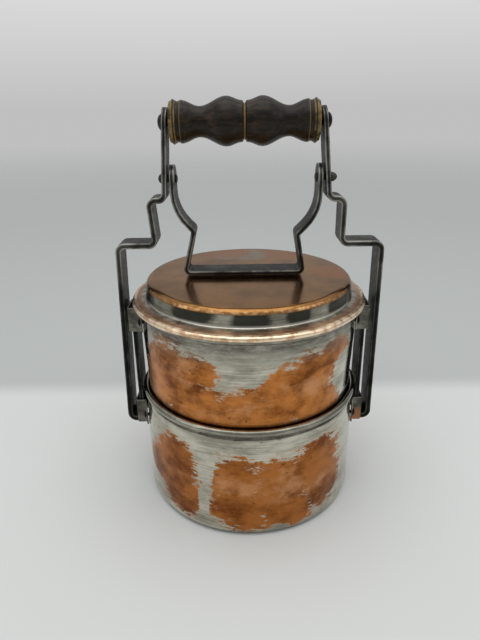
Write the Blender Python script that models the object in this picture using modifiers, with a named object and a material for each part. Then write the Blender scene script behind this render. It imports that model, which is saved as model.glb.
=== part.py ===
"""Two-tier stacked food carrier: two tinned pans and a lid, held by a bent iron
strap on each side, with a swinging lock clamp and a turned wooden grip.

Metres, +Z up. The origin is the centre of the lower pan's base, X runs across the
handle and Y from front to back.
"""
import math

import bmesh
import bpy
from mathutils import Matrix, Vector

MM = 0.001
GAP = 0.3 * MM                  # clearance between pieces that rest on each other
TURN_STEPS = 48                 # facets around pans and lid
SMALL_STEPS = 12                # facets around rivets, holes and rod
SIDES = {"left": -1, "right": 1}
ENDS = {"front": -1, "back": 1}

# sheet metal pans and lid
SHEET = 0.8 * MM
BASE_CORNER_R = 5.0 * MM        # mid-sheet radius of the lower pan's bottom corner
LOWER_FOOT_R = 78.4 * MM
LOWER_BELLY_R = 78.8 * MM
LOWER_BELLY_Z = 45.0 * MM
LOWER_NECK_R = 78.0 * MM
LOWER_NECK_Z = 79.0 * MM
LOWER_ROLL_R = 2.6 * MM         # outside radius of the rolled rim
LOWER_ROLL_CENTRE = (77.8 * MM, 84.4 * MM)
UPPER_CORNER_R = 9.6 * MM
UPPER_FOOT_R = 75.1 * MM
UPPER_BASE_Z = 79.0 * MM        # mid-sheet height of the upper pan's floor
UPPER_WAIST_R = 75.7 * MM
UPPER_WAIST_Z = 106.0 * MM
UPPER_BELLY_R = 76.7 * MM
UPPER_BELLY_Z = 128.0 * MM
UPPER_ROLL_R = 2.0 * MM
UPPER_ROLL_CENTRE = (78.0 * MM, 148.9 * MM)
LID_TOP_Z = 166.6 * MM
LID_TOP_R = 71.9 * MM
LID_EDGE_R = 4.0 * MM
LID_STEP_R = 72.8 * MM
LID_STEP_Z = 155.2 * MM
LID_ROLL_R = 1.9 * MM
LID_ROLL_CENTRE = (81.0 * MM, 151.9 * MM)
ROLL_END_ANGLE = math.radians(-105)
LID_ROLL_END_ANGLE = math.radians(-150)
WIRE_SIDES = 6

# iron straps, all measured on the strap's middle line
STRAP_W = 18.0 * MM
STRAP_T = 3.3 * MM
LEG_T = 4.0 * MM                # the legs and shoulders are left thicker
STRAP_ROD_X = {"left": 52.7 * MM, "right": 49.3 * MM}
STRAP_NECK_X = {"left": 55.6 * MM, "right": 54.0 * MM}
STRAP_JOG_X = {"left": (66.0 * MM, 63.4 * MM), "right": (64.0 * MM, 64.0 * MM)}
STRAP_LEG_TOP_X = {"left": 89.3 * MM, "right": 91.4 * MM}
STRAP_LEG_LOW_X = 92.7 * MM
STRAP_RETURN_X = 83.1 * MM
JOG_Z = 220.3 * MM
SHOULDER_Z = 189.8 * MM
RETURN_Z = 56.7 * MM            # centre height of the bend under the lower ear
RETURN_TOP_Z = 146.0 * MM
BEND_R = 4.5 * MM

# grip, rod and clamp
ROD_Z = 268.6 * MM
ROD_R = 2.5 * MM
ROD_HOLE_R = 2.8 * MM
ROD_HEAD_R = 5.0 * MM
ROD_HEAD_T = 2.6 * MM
GRIP_HALF = 47.6 * MM
GRIP_X = -1.8 * MM              # the handle sits a little to the left of the pans
GRIP_STEPS = 20
GRIP_STATIONS = ((0.0, 10.9), (1.6, 12.6), (11.5, 15.2), (28.6, 9.4), (40.6, 13.1),
                 (42.6, 12.3), (45.4, 13.7), (47.6, 12.4))
PIVOT_Z = 233.5 * MM
PIVOT_R = 2.2 * MM
PIVOT_HOLE_R = 2.5 * MM
PIVOT_HEAD_R = 3.2 * MM
PIVOT_INNER_T = 1.2 * MM
PIVOT_STUB = {"left": 2.6 * MM, "right": 4.6 * MM}
CLAMP_W = 18.0 * MM
CLAMP_EYE_GAP = 5.1 * MM        # from the strap's middle line to the clamp's
CLAMP_BOW_R = 31.0 * MM
CLAMP_ELBOW_R = 3.2 * MM
CLAMP_ELBOW = {"left": (36.8 * MM, 199.6 * MM), "right": (33.4 * MM, 196.5 * MM)}
CLAMP_FOOT_X = {"left": 44.0 * MM, "right": 38.0 * MM}
CLAMP_LID_GAP = 1.1 * MM        # room for the sole to roll off the lid
WASHER_T = 0.6 * MM
PIVOT_WASHER_R = 5.0 * MM
HANDLE_WASHER_R = 8.0 * MM

# ears riveted to the pans
EAR_T = 1.1 * MM
EAR_SLEEVE_X = 86.9 * MM
EAR_SLEEVE_Y = 9.9 * MM
EAR_BEND_R = 1.4 * MM
EAR_FOOT_ANGLE = math.radians(14.5)
EAR_RIVET_ANGLE = math.radians(10.9)
EAR_TAPER_Y = 12.2 * MM
EARS = {"lower": {"wall": 79.15 * MM, "low": 49.8 * MM, "high": 69.5 * MM},
        "upper": {"wall": 77.2 * MM, "low": 127.0 * MM, "high": 145.2 * MM}}
EAR_SLOT_TOP = 57.6 * MM        # the lower sleeves are open below this, for the return bend
RIVET_R = 1.3 * MM
RIVET_HOLE_R = 1.6 * MM
RIVET_HEAD_R = 2.9 * MM
RIVET_HEAD_T = 1.5 * MM
RIVET_TAIL_R = 2.5 * MM
RIVET_TAIL_T = 0.7 * MM

# bends, cutters and mesh steps
THROAT_DROP = 1.2 * MM          # from the rim wire's centre down to the throat's bend
THROAT_BEND_R = 1.0 * MM
NECK_BEND_R = 2.0 * MM
LID_STEP_BEND_R = 1.5 * MM      # where the lid's wall turns out into its flange
CLAMP_FOOT_R = 3.5 * MM         # bend between the clamp's arm and its foot
EAR_TIP_Y = 24.0 * MM           # beyond the ends of the ear's feet
EAR_TAPER = 0.32                # share of the ear's height lost at each edge by the tip
EAR_CORNER_R = 1.5 * MM
EAR_SPARE = 2.0 * MM            # extra height that the side shape trims away
EAR_TRIM_X = EAR_SLEEVE_X - 8.0 * MM
EAR_TRIM_LENGTH = 40.0 * MM
SLOT_REACH = 3.0 * MM           # each way through the lower ear's sleeve
CUT_LENGTH = 12.0 * MM          # of hole and end cutters
END_BITE = 0.05 * MM            # taken off a strip's edge by its rounded end
SOLE_LENGTH = 120.0 * MM
SOLE_STEPS = 96
RIVET_STEPS = 10
GRIP_STEP = 4.0                 # longest step along the grip, in mm
AXIS_MERGE = 0.01 * MM
POINT_MERGE = 0.001 * MM


# ---------------------------------------------------------------- helpers
def empty_scene():
    for item in list(bpy.data.objects):
        bpy.data.objects.remove(item, do_unlink=True)


def new_collection(name):
    collection = bpy.data.collections.new(name)
    bpy.context.scene.collection.children.link(collection)
    return collection


def make_material(name, color, roughness, metallic):
    material = bpy.data.materials.new(name)
    material.use_nodes = True
    shader = material.node_tree.nodes["Principled BSDF"]
    shader.inputs["Base Color"].default_value = (*color, 1.0)
    shader.inputs["Roughness"].default_value = roughness
    shader.inputs["Metallic"].default_value = metallic
    return material


def add_object(name, mesh, material=None, collection=None):
    item = bpy.data.objects.new(name, mesh)
    (collection or PARTS).objects.link(item)
    if material:
        mesh.materials.append(material)
    return item


def fillet_path(corners, step=30.0):
    """Points along a line through (u, v, radius) corners, each rounded by its radius."""
    path = [Vector(corners[0][:2])]
    for before, corner, after in zip(corners, corners[1:], corners[2:]):
        point = Vector(corner[:2])
        back = (Vector(before[:2]) - point).normalized()
        ahead = (Vector(after[:2]) - point).normalized()
        turn = math.pi - back.angle(ahead)
        radius = corner[2]
        if radius == 0:
            path.append(point)
            continue
        side = math.copysign(1.0, back.y * ahead.x - back.x * ahead.y)
        centre = point + (back + ahead).normalized() * radius / math.cos(turn / 2)
        spoke = point + back * radius * math.tan(turn / 2) - centre
        count = max(2, round(math.degrees(turn) / step))
        for index in range(count + 1):
            path.append(centre + Matrix.Rotation(side * turn * index / count, 2) @ spoke)
    path.append(Vector(corners[-1][:2]))
    return path


def arc(centre, radius, start, end, count):
    """Points from the start angle to the end angle, both in radians."""
    angles = (start + (end - start) * index / count for index in range(count + 1))
    return [Vector((centre[0] + radius * math.cos(a), centre[1] + radius * math.sin(a)))
            for a in angles]


def offset_path(path, distance):
    """The path moved to its left, with mitred corners, by one distance or one per point."""
    distances = distance if isinstance(distance, list) else [distance] * len(path)
    moved = []
    for index, point in enumerate(path):
        incoming = point - path[index - 1] if index else path[1] - point
        outgoing = path[index + 1] - point if index + 1 < len(path) else incoming
        normals = [Vector((-way.y, way.x)).normalized() for way in (incoming, outgoing)]
        mitre = (normals[0] + normals[1]).normalized()
        moved.append(point + mitre * distances[index] / mitre.dot(normals[1]))
    return moved


def thick_outline(path, thickness):
    """Closed outline of a strip along the path, of one thickness or one per point."""
    sizes = thickness if isinstance(thickness, list) else [thickness] * len(path)
    half = [size / 2 for size in sizes]
    return offset_path(path, half) + offset_path(path, [-size for size in half])[::-1]


def turned(name, profile, material=None, steps=TURN_STEPS, collection=None):
    """A solid of revolution about local Z; the profile runs down its outer side."""
    mesh = bpy.data.meshes.new(name)
    vertices = [(point[0], 0.0, point[1]) for point in profile]
    edges = [(index, index + 1) for index in range(len(vertices) - 1)]
    mesh.from_pydata(vertices, edges, [])
    item = add_object(name, mesh, material, collection)
    screw = item.modifiers.new("Turn", "SCREW")
    screw.steps = steps
    screw.render_steps = steps
    screw.use_merge_vertices = True
    screw.merge_threshold = AXIS_MERGE
    screw.use_smooth_shade = True
    return item


def extruded(name, outline, depth, matrix, material=None, collection=None):
    """A closed outline in the local XY plane, thickened along local Z by depth."""
    curve = bpy.data.curves.new(name, "CURVE")
    curve.dimensions = "2D"
    curve.fill_mode = "BOTH"
    curve.extrude = depth / 2
    spline = curve.splines.new("POLY")
    spline.points.add(len(outline) - 1)
    for spot, place in zip(spline.points, outline):
        spot.co = (place[0], place[1], 0.0, 1.0)
    spline.use_cyclic_u = True
    guide = bpy.data.objects.new(name + "_outline", curve)
    bpy.context.scene.collection.objects.link(guide)
    graph = bpy.context.evaluated_depsgraph_get()
    mesh = bpy.data.meshes.new_from_object(guide.evaluated_get(graph))
    bpy.data.objects.remove(guide, do_unlink=True)
    shape = bmesh.new()
    shape.from_mesh(mesh)
    bmesh.ops.remove_doubles(shape, verts=shape.verts, dist=POINT_MERGE)
    bmesh.ops.recalc_face_normals(shape, faces=shape.faces)
    shape.to_mesh(mesh)
    shape.free()
    mesh.name = name
    item = add_object(name, mesh, material, collection)
    item.matrix_world = matrix
    return item


def cylinder(name, radius, length, matrix, collection, steps=SMALL_STEPS):
    mesh = bpy.data.meshes.new(name)
    shape = bmesh.new()
    bmesh.ops.create_cone(shape, cap_ends=True, segments=steps, radius1=radius,
                          radius2=radius, depth=length)
    shape.to_mesh(mesh)
    shape.free()
    item = add_object(name, mesh, None, collection)
    item.matrix_world = matrix
    return item


def box(name, low, high, collection):
    mesh = bpy.data.meshes.new(name)
    shape = bmesh.new()
    bmesh.ops.create_cube(shape, size=1.0)
    size = Vector(high) - Vector(low)
    bmesh.ops.scale(shape, vec=size, verts=shape.verts)
    bmesh.ops.translate(shape, vec=Vector(low) + size / 2, verts=shape.verts)
    shape.to_mesh(mesh)
    shape.free()
    return add_object(name, mesh, None, collection)


def boolean(item, tool, operation="DIFFERENCE"):
    tool.hide_render = True
    tool.display_type = "WIRE"
    cut = item.modifiers.new(operation.title(), "BOOLEAN")
    cut.operation = operation
    cut.solver = "EXACT"
    cut.object = tool
    return item


UPRIGHT = Matrix.Rotation(math.pi / 2, 4, "X")          # local XY to world XZ
ALONG_X = Matrix.Rotation(math.pi / 2, 4, "Y")          # local Z to world X
SIDE_ON = Matrix(((0, 0, 1, 0), (1, 0, 0, 0), (0, 1, 0, 0), (0, 0, 0, 1)))  # XY to YZ


def place_x(x, y, z):
    """A matrix whose local Z is world X, at the given point."""
    return Matrix.Translation((x, y, z)) @ ALONG_X


# ---------------------------------------------------------------- pans and lid
def sheet_profile(path):
    """Inner side from the axis to the rim, then the outer side back to the axis."""
    return offset_path(path, SHEET / 2) + offset_path(path, -SHEET / 2)[::-1]


def rolled_rim(centre, outer_r, start, end, count=7):
    """Middle line of the sheet that curls over the rim wire."""
    return arc(centre, outer_r - SHEET / 2, start, end, count)


def rim_wire(name, centre, outer_r):
    bpy.ops.mesh.primitive_torus_add(
        major_segments=TURN_STEPS, minor_segments=WIRE_SIDES, major_radius=centre[0],
        minor_radius=outer_r - SHEET - GAP, location=(0, 0, centre[1]))
    item = bpy.context.object
    item.name = name
    for collection in item.users_collection:
        collection.objects.unlink(item)
    PARTS.objects.link(item)
    item.data.materials.append(IRON)
    item.data.shade_smooth()
    return item


def make_lower_pan():
    throat_r = LOWER_ROLL_CENTRE[0] - LOWER_ROLL_R + SHEET / 2
    throat_z = LOWER_ROLL_CENTRE[1] - THROAT_DROP
    wall = fillet_path([(0, SHEET / 2), (LOWER_FOOT_R, SHEET / 2, BASE_CORNER_R),
                        (LOWER_BELLY_R, LOWER_BELLY_Z, 0),
                        (LOWER_NECK_R, LOWER_NECK_Z, NECK_BEND_R),
                        (throat_r, throat_z, THROAT_BEND_R),
                        (throat_r, LOWER_ROLL_CENTRE[1])])[:-1]
    rim = rolled_rim(LOWER_ROLL_CENTRE, LOWER_ROLL_R, math.pi, ROLL_END_ANGLE)
    rim_wire("lower_rim_wire", LOWER_ROLL_CENTRE, LOWER_ROLL_R)
    return turned("lower_pan", sheet_profile(wall + rim), TINNED)


def make_upper_pan():
    wall = fillet_path([(0, UPPER_BASE_Z), (UPPER_FOOT_R, UPPER_BASE_Z, UPPER_CORNER_R),
                        (UPPER_WAIST_R, UPPER_WAIST_Z, 0), (UPPER_BELLY_R, UPPER_BELLY_Z)])
    rim = rolled_rim(UPPER_ROLL_CENTRE, UPPER_ROLL_R, math.pi, ROLL_END_ANGLE)
    rim_wire("upper_rim_wire", UPPER_ROLL_CENTRE, UPPER_ROLL_R)
    return turned("upper_pan", sheet_profile(wall + rim), TINNED)


def make_lid():
    rise = LID_STEP_Z - LID_ROLL_CENTRE[1] - LID_ROLL_R
    flange_tilt = math.atan2(rise, LID_ROLL_CENTRE[0] - LID_STEP_R)
    rim = rolled_rim(LID_ROLL_CENTRE, LID_ROLL_R, math.pi / 2 - flange_tilt,
                     LID_ROLL_END_ANGLE)
    top = fillet_path([(0, LID_TOP_Z), (LID_TOP_R, LID_TOP_Z, LID_EDGE_R),
                       (LID_STEP_R, LID_STEP_Z, LID_STEP_BEND_R), tuple(rim[0])])[:-1]
    rim_wire("lid_rim_wire", LID_ROLL_CENTRE, LID_ROLL_R)
    # the lid's sheet runs outward and down, so its left side is the outside
    path = top + rim
    outside = offset_path(path, SHEET / 2)
    inside = offset_path(path, -SHEET / 2)
    return turned("lid", outside + inside[::-1], COPPER)


# ---------------------------------------------------------------- ears and rivets
def ear_outline(wall_r):
    """Plan view of a sheet sleeve whose two feet follow the pan's wall."""
    foot_r = wall_r + GAP + EAR_T / 2
    turn_angle = math.asin((EAR_SLEEVE_Y + EAR_BEND_R) / foot_r)
    foot = arc((0, 0), foot_r, -EAR_FOOT_ANGLE, -turn_angle, 3)
    root_x = math.sqrt(foot_r ** 2 - EAR_SLEEVE_Y ** 2)
    corners = [(*point, 0) for point in foot]
    corners += [(root_x, -EAR_SLEEVE_Y, EAR_BEND_R),
                (EAR_SLEEVE_X, -EAR_SLEEVE_Y, EAR_BEND_R)]
    corners += [(u, -v, radius) for u, v, radius in reversed(corners)]
    return thick_outline(fillet_path(corners), EAR_T)


def ear_side_shape(low, high):
    """Side view of an ear: full height at the sleeve, tapered along the feet."""
    inset = EAR_TAPER * (high - low)
    half = [(EAR_TAPER_Y, high, EAR_CORNER_R), (EAR_TIP_Y, high - inset, 0),
            (EAR_TIP_Y, low + inset, 0), (EAR_TAPER_Y, low, EAR_CORNER_R)]
    loop = half + [(-y, z, r) for y, z, r in reversed(half)]
    start = (0.0, high, 0.0)
    return fillet_path([start] + loop + [start])[:-1]


def rivet_matrix(side, end, z, radius=0.0):
    """Local Z points out of the pan's wall at a rivet, at this distance from the axis."""
    angle = end * EAR_RIVET_ANGLE * side + (math.pi if side < 0 else 0.0)
    return Matrix.Rotation(angle, 4, "Z") @ place_x(radius, 0, z)


def make_rivet(name, wall_r, matrix):
    """Domed head outside the ear's foot, shank through both sheets, tail inside."""
    tail = wall_r - SHEET - 3 * GAP
    head = wall_r + 2 * GAP + EAR_T
    dome = arc((0, 0), 1.0, math.pi / 2, 0.0, 3)
    profile = [Vector((RIVET_HEAD_R * u.x, head + RIVET_HEAD_T * u.y)) for u in dome]
    profile[0].x = 0.0
    profile += [Vector((RIVET_R, head)), Vector((RIVET_R, tail)),
                Vector((RIVET_TAIL_R, tail)), Vector((RIVET_TAIL_R, tail - RIVET_TAIL_T)),
                Vector((0, tail - RIVET_TAIL_T))]
    item = turned(name, profile, IRON, steps=RIVET_STEPS)
    item.matrix_world = matrix
    return item


def make_ears(tier, pan):
    size = EARS[tier]
    middle = (size["low"] + size["high"]) / 2
    outline = ear_outline(size["wall"])
    shape = ear_side_shape(size["low"], size["high"])
    for side_name, side in SIDES.items():
        turn = Matrix.Rotation(0.0 if side > 0 else math.pi, 4, "Z")
        name = f"{tier}_ear_{side_name}"
        ear = extruded(name, outline, size["high"] - size["low"] + EAR_SPARE,
                       turn @ Matrix.Translation((0, 0, middle)), IRON)
        trim = extruded(name + "_trim", shape, EAR_TRIM_LENGTH,
                        turn @ Matrix.Translation((EAR_TRIM_X, 0, 0)) @ SIDE_ON,
                        None, CUTTERS)
        boolean(ear, trim, "INTERSECT")
        if tier == "lower":
            slot_y = STRAP_W / 2 + GAP
            slot = box(name + "_slot", (EAR_SLEEVE_X - SLOT_REACH, -slot_y, 0),
                       (EAR_SLEEVE_X + SLOT_REACH, slot_y, EAR_SLOT_TOP), CUTTERS)
            slot.matrix_world = turn
            boolean(ear, slot)
        for end_name, end in ENDS.items():
            place = rivet_matrix(side, end, middle)
            hole = cylinder(f"{name}_{end_name}_hole", RIVET_HOLE_R, CUT_LENGTH,
                            rivet_matrix(side, end, middle, size["wall"]), CUTTERS)
            boolean(ear, hole)
            boolean(pan, hole)
            make_rivet(f"{tier}_ear_rivet_{side_name}_{end_name}", size["wall"], place)


# ---------------------------------------------------------------- carrier
def round_end(item, name, x, z, width):
    """Trims the upper end of a strip to a half circle about (x, z)."""
    radius = width / 2 - END_BITE
    bite = [(-width, 0.0)] + [tuple(p) for p in arc((0, 0), radius, math.pi, 0.0, 8)]
    bite += [(width, 0.0), (width, width), (-width, width)]
    place = Matrix.Translation((x, 0, z)) @ SIDE_ON
    boolean(item, extruded(name, bite, CUT_LENGTH, place, None, CUTTERS))


def cross_hole(item, name, x, z, radius):
    boolean(item, cylinder(name, radius, CUT_LENGTH, place_x(x, 0, z), CUTTERS))


def neck_x(side_name, z):
    """Distance from the middle plane of the leaning strip between rod and jog."""
    share = (ROD_Z - z) / (ROD_Z - JOG_Z)
    top = STRAP_ROD_X[side_name]
    return top + (STRAP_NECK_X[side_name] - top) * share


def make_strap(side_name, side):
    """Outer leg, return bend under the lower ear, and inner leg up through both ears."""
    bend = BEND_R
    centre_x = (STRAP_LEG_LOW_X + STRAP_RETURN_X) / 2
    return_r = (STRAP_LEG_LOW_X - STRAP_RETURN_X) / 2
    tip_z = ROD_Z + STRAP_W / 2
    jog_high, jog_low = STRAP_JOG_X[side_name]
    neck = fillet_path([(neck_x(side_name, tip_z), tip_z),
                        (STRAP_NECK_X[side_name], JOG_Z, bend), (jog_high, JOG_Z)])[:-1]
    leg = fillet_path([(STRAP_NECK_X[side_name], JOG_Z), (jog_high, JOG_Z, bend),
                       (jog_low, SHOULDER_Z, bend),
                       (STRAP_LEG_TOP_X[side_name], SHOULDER_Z, bend),
                       (STRAP_LEG_LOW_X, RETURN_Z)])[1:]
    hook = arc((centre_x, RETURN_Z), return_r, 0.0, -math.pi, 8)[1:]
    hook.append(Vector((STRAP_RETURN_X, RETURN_TOP_Z)))
    path = [Vector((side * point.x, point.y)) for point in neck + leg + hook]
    sizes = [STRAP_T] * len(neck) + [LEG_T] * len(leg) + [STRAP_T] * len(hook)
    strap = extruded(f"carrier_strap_{side_name}", thick_outline(path, sizes), STRAP_W,
                     UPRIGHT, IRON)
    rod_x = side * STRAP_ROD_X[side_name]
    pivot_x = side * neck_x(side_name, PIVOT_Z)
    round_end(strap, f"strap_end_{side_name}", rod_x, ROD_Z, STRAP_W)
    cross_hole(strap, f"rod_hole_{side_name}", rod_x, ROD_Z, ROD_HOLE_R)
    cross_hole(strap, f"pivot_hole_{side_name}", pivot_x, PIVOT_Z, PIVOT_HOLE_R)
    return strap


def shaft_profile(heads, shank_r):
    """Turned pin from heads, each (inner face, outer face, radius), low end first."""
    (low_in, low_out, low_r), (high_in, high_out, high_r) = heads
    dome = arc((0, 0), 1.0, math.pi / 2, 0.0, 3)
    top = [Vector((high_r * u.x, high_in + (high_out - high_in) * u.y)) for u in dome]
    bottom = [Vector((low_r * u.x, low_in + (low_out - low_in) * u.y)) for u in dome]
    top[0].x = 0.0
    bottom[0].x = 0.0
    return top + [Vector((shank_r, high_in)), Vector((shank_r, low_in))] + bottom[::-1]


def head_seat(side_name, z, head_r):
    """Distance from the middle plane where a head clears the leaning strip."""
    lean = (STRAP_NECK_X[side_name] - STRAP_ROD_X[side_name]) / (ROD_Z - JOG_Z)
    return neck_x(side_name, z) + STRAP_T / 2 + lean * head_r + GAP


def make_rod():
    left, right = (head_seat(name, ROD_Z, ROD_HEAD_R) for name in SIDES)
    heads = ((-left, -left - ROD_HEAD_T, ROD_HEAD_R), (right, right + ROD_HEAD_T, ROD_HEAD_R))
    rod = turned("handle_rod", shaft_profile(heads, ROD_R), IRON, steps=SMALL_STEPS)
    rod.matrix_world = place_x(0, 0, ROD_Z)
    return rod


def make_washer(name, x, z, hole_r, outer_r):
    """A flat ring about the X axis, centred on x."""
    half = WASHER_T / 2
    profile = [(hole_r, -half), (hole_r, half), (outer_r, half), (outer_r, -half),
               (hole_r, -half)]
    washer = turned(name, profile, IRON, steps=SMALL_STEPS)
    washer.matrix_world = place_x(x, 0, z)
    return washer


def grip_radius(x):
    """Turned outline: half-cosine waves between the beads, necks and the waist."""
    spot = abs(x) / MM
    for (x0, r0), (x1, r1) in zip(GRIP_STATIONS, GRIP_STATIONS[1:]):
        if spot <= x1:
            blend = (1 - math.cos(math.pi * (spot - x0) / (x1 - x0))) / 2
            return (r0 + (r1 - r0) * blend) * MM
    return GRIP_STATIONS[-1][1] * MM


def make_grip():
    bore_r = ROD_R + GAP
    half_marks = [0.0]
    for (x0, _), (x1, _) in zip(GRIP_STATIONS, GRIP_STATIONS[1:]):
        count = max(2, math.ceil((x1 - x0) / GRIP_STEP))
        half_marks += [(x0 + (x1 - x0) * (i + 1) / count) * MM for i in range(count)]
    marks = [-x for x in reversed(half_marks[1:])] + half_marks
    profile = [Vector((bore_r, -GRIP_HALF)), Vector((bore_r, GRIP_HALF))]
    profile += [Vector((grip_radius(x), x)) for x in reversed(marks)]
    profile.append(Vector((bore_r, -GRIP_HALF)))
    grip = turned("grip", profile, WOOD, steps=GRIP_STEPS)
    grip.matrix_world = place_x(GRIP_X, 0, ROD_Z)
    return grip


def clamp_arm(side_name, side, foot_z):
    """Corners of one arm's middle line, from its eye down to the end of the foot."""
    eye_x = neck_x(side_name, PIVOT_Z) - CLAMP_EYE_GAP
    elbow_x, elbow_z = CLAMP_ELBOW[side_name]
    bow_z = elbow_z + eye_x - elbow_x      # the bow turns the arm by 45 degrees
    half = [(eye_x, PIVOT_Z + CLAMP_W / 2, 0), (eye_x, bow_z, CLAMP_BOW_R),
            (elbow_x, elbow_z, CLAMP_ELBOW_R), (CLAMP_FOOT_X[side_name], foot_z, CLAMP_FOOT_R)]
    return [(side * x, z, radius) for x, z, radius in half]


def make_clamp():
    """U-shaped strip: two bowed arms, elbows, and a flat foot that bears on the lid."""
    lid_top = LID_TOP_Z + SHEET / 2
    sole_r = PIVOT_Z - lid_top - CLAMP_LID_GAP
    foot_z = PIVOT_Z - sole_r + STRAP_T / 2
    left, right = (clamp_arm(name, side, foot_z) for name, side in SIDES.items())
    corners = left + right[::-1]
    outline = thick_outline(fillet_path(corners), STRAP_T)
    clamp = extruded("lock_clamp", outline, CLAMP_W, UPRIGHT, IRON)
    sole = cylinder("clamp_sole_arc", sole_r, SOLE_LENGTH, place_x(0, 0, PIVOT_Z), CUTTERS,
                    SOLE_STEPS)
    boolean(clamp, sole, "INTERSECT")
    for side_name, side in SIDES.items():
        x = side * (neck_x(side_name, PIVOT_Z) - CLAMP_EYE_GAP)
        round_end(clamp, f"clamp_end_{side_name}", x, PIVOT_Z, CLAMP_W)
        cross_hole(clamp, f"clamp_hole_{side_name}", x, PIVOT_Z, PIVOT_HOLE_R)
    return clamp


def make_pivot(side_name, side):
    """Rivet through the strap, a washer and the clamp's eye."""
    strap_x = neck_x(side_name, PIVOT_Z)
    eye_x = strap_x - CLAMP_EYE_GAP
    inner = eye_x - STRAP_T / 2 - GAP
    outer = head_seat(side_name, PIVOT_Z, PIVOT_HEAD_R)
    heads = ((inner, inner - PIVOT_INNER_T, PIVOT_HEAD_R),
             (outer, outer + PIVOT_STUB[side_name], PIVOT_HEAD_R))
    pivot = turned(f"clamp_pivot_{side_name}", shaft_profile(heads, PIVOT_R), IRON,
                   steps=SMALL_STEPS)
    turn = Matrix.Rotation(0.0 if side > 0 else math.pi, 4, "Z")
    pivot.matrix_world = turn @ place_x(0, 0, PIVOT_Z)
    washer_x = eye_x + STRAP_T / 2 + GAP / 2 + WASHER_T / 2
    make_washer(f"pivot_washer_{side_name}", side * washer_x, PIVOT_Z, PIVOT_HOLE_R,
                PIVOT_WASHER_R)


# ---------------------------------------------------------------- build
empty_scene()
PARTS = new_collection("stacked_food_carrier")
CUTTERS = new_collection("cutters")
TINNED = make_material("tinned_copper", (0.62, 0.58, 0.54), 0.35, 1.0)
COPPER = make_material("bare_copper", (0.72, 0.38, 0.22), 0.3, 1.0)
IRON = make_material("dark_iron", (0.07, 0.07, 0.065), 0.5, 0.8)
WOOD = make_material("dark_wood", (0.05, 0.03, 0.02), 0.4, 0.0)

make_ears("lower", make_lower_pan())
make_ears("upper", make_upper_pan())
make_lid()
for label, direction in SIDES.items():
    make_strap(label, direction)
    make_pivot(label, direction)
    washer_spot = GRIP_X + direction * (GRIP_HALF + GAP / 2 + WASHER_T / 2)
    make_washer(f"handle_washer_{label}", washer_spot, ROD_Z, ROD_HOLE_R, HANDLE_WASHER_R)
make_rod()
make_grip()
make_clamp()
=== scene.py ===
"""Finished look of a two-tier tinned copper food carrier, built round its CAD frame.

Every piece is modelled again at fine resolution in the CAD's own place, in metres:
beaten sheet pans and lid, forged iron straps and lock clamp, and a turned wooden grip.
"""
import math

import bmesh
import bpy
from mathutils import Matrix, Vector, noise


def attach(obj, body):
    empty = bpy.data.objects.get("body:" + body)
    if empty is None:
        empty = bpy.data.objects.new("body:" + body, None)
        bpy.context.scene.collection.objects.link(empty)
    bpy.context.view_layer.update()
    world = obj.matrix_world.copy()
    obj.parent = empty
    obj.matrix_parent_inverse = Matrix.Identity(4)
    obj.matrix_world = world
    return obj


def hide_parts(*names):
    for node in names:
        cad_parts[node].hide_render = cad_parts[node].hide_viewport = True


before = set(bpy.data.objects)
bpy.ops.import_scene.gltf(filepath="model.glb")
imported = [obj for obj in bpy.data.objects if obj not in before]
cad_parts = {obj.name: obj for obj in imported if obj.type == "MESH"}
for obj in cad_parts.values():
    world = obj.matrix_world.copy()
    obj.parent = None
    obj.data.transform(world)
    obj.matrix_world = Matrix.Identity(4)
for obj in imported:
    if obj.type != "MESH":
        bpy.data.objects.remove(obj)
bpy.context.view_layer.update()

MM = 0.001
CARRIER = "lower_pan_and_carrier"
SIDES = {"left": -1, "right": 1}
ENDS = {"front": -1, "back": 1}

# pans and lid, in the CAD's measures
SHEET = 0.8 * MM
GAP = 0.3 * MM                      # between pieces that rest on each other
WIRE_GAP = 0.1 * MM
SEGMENTS = 216
BEATEN_R = (60.0 * MM, 72.0 * MM)   # unevenness fades in between these radii
LOWER_ROLL = (77.8 * MM, 84.4 * MM, 2.6 * MM)      # centre radius, height, outer radius
UPPER_ROLL = (78.0 * MM, 148.9 * MM, 2.0 * MM)
LID_ROLL = (81.0 * MM, 151.9 * MM, 1.9 * MM)
BASE_CORNER_R = 5.0 * MM
LOWER_FOOT_R = 78.4 * MM
LOWER_BELLY = (78.8 * MM, 45.0 * MM)
LOWER_BELLY_BEND_R = 60.0 * MM
LOWER_NECK = (78.0 * MM, 79.0 * MM)
LOWER_NECK_BEND_R = 2.0 * MM
THROAT_DROP = 1.2 * MM
THROAT_BEND_R = 1.0 * MM
UPPER_FOOT = (75.1 * MM, 79.0 * MM)
UPPER_CORNER_R = 9.6 * MM
UPPER_WAIST = (75.7 * MM, 106.0 * MM)
UPPER_WAIST_BEND_R = 30.0 * MM
UPPER_BELLY = (76.7 * MM, 128.0 * MM)
LID_TOP_Z = 166.6 * MM
LID_TOP_R = 71.9 * MM
LID_TOP_BEND_R = 4.0 * MM           # between the lid's top and its wall
LID_STEP_BEND_R = 1.5 * MM          # between its wall and its flange
LID_STEP = (72.8 * MM, 155.2 * MM)
PAN_ROLL_END = math.radians(-105)
LID_ROLL_END = math.radians(-150)

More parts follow.
